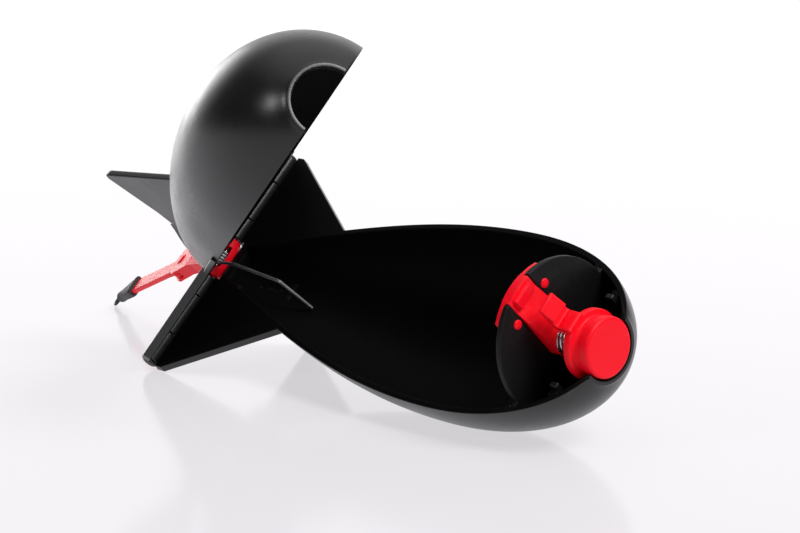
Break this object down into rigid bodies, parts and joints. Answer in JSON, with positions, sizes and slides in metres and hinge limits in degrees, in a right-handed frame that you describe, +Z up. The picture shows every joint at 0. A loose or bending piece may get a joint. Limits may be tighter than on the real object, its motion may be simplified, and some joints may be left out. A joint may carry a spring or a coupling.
{
  "type": "bait rocket",
  "caption": "Bait rocket in two hinged finned shells that spring open on impact, with a push trigger in the nose and a swinging tail arm that ends in a line eye.",
  "frame": {"origin": "under the middle of the resting rocket's bounding box, on the surface that it lies on", "axes": "+X from the tail towards the nose, +Z up; the rocket lies on two fins and its belly with its mouth sprung open towards -Y"},
  "size_m": [0.259, 0.1177, 0.1142],
  "materials": {
    "black_shell": "satin moulded black plastic",
    "black_bulkhead": "matt moulded black plastic",
    "red_plastic": "satin moulded bright red plastic",
    "steel": "bright stainless steel",
    "dark_wire": "dark drawn spring wire",
    "black_rubber": "matt black rubber",
    "dark_metal": "blackened metal"
  },
  "bodies": {
    "lower_body": {"lower_shell": "black_shell", "bulkhead": "black_bulkhead", "latch_cradle": "red_plastic", "cradle_rivets": "red_plastic", "spring_washer": "steel", "nose_spring": "steel", "hinge_pin": "steel", "pin_caps": "steel", "opening_spring_coil": "dark_wire", "opening_spring_lower_leg": "dark_wire"},
    "upper_body": {"upper_shell": "black_shell", "opening_spring_upper_leg": "dark_wire"},
    "trigger": {"nose_button": "red_plastic", "trigger_stem": "steel", "stem_clip": "steel"},
    "hub": {"tail_hub": "red_plastic", "arm_pivot_pin": "red_plastic"},
    "arm": {"tail_arm": "red_plastic", "arm_boot": "black_rubber", "swivel_barrel": "dark_metal"},
    "eye": {"line_eye": "dark_metal"}
  },
  "joints": [
    {"name": "shell_hinge", "type": "hinge", "parent": "lower_body", "child": "upper_body", "pos_m": [-0.03875, 0.0266, 0.03149], "axis": [-0.0063, -0.6966, -0.7175], "range_deg": [-35.8, 0], "stiffness_Nm_per_rad": 0.06, "springref_deg": 57.3},
    {"name": "trigger_slide", "type": "slide", "parent": "lower_body", "child": "trigger", "axis": [-1, 0, 0.0088], "range_m": [0, 0.0035], "stiffness_N_per_m": 600, "springref_m": -0.003, "deforming": ["nose_spring"]},
    {"name": "hub_swing", "type": "hinge", "parent": "lower_body", "child": "hub", "pos_m": [-0.03875, 0.0266, 0.03149], "axis": [0.0063, 0.6966, 0.7175], "range_deg": [-6, 48]},
    {"name": "arm_sway", "type": "hinge", "parent": "hub", "child": "arm", "pos_m": [-0.0652, 0.03288, 0.02562], "axis": [-0.3931, -0.658, 0.6423], "range_deg": [-36, 27]},
    {"name": "eye_spin", "type": "hinge", "parent": "arm", "child": "eye", "pos_m": [-0.12381, 0.04848, 0.00379], "axis": [-0.8825, 0.2814, -0.3768], "continuous": true}
  ]
}
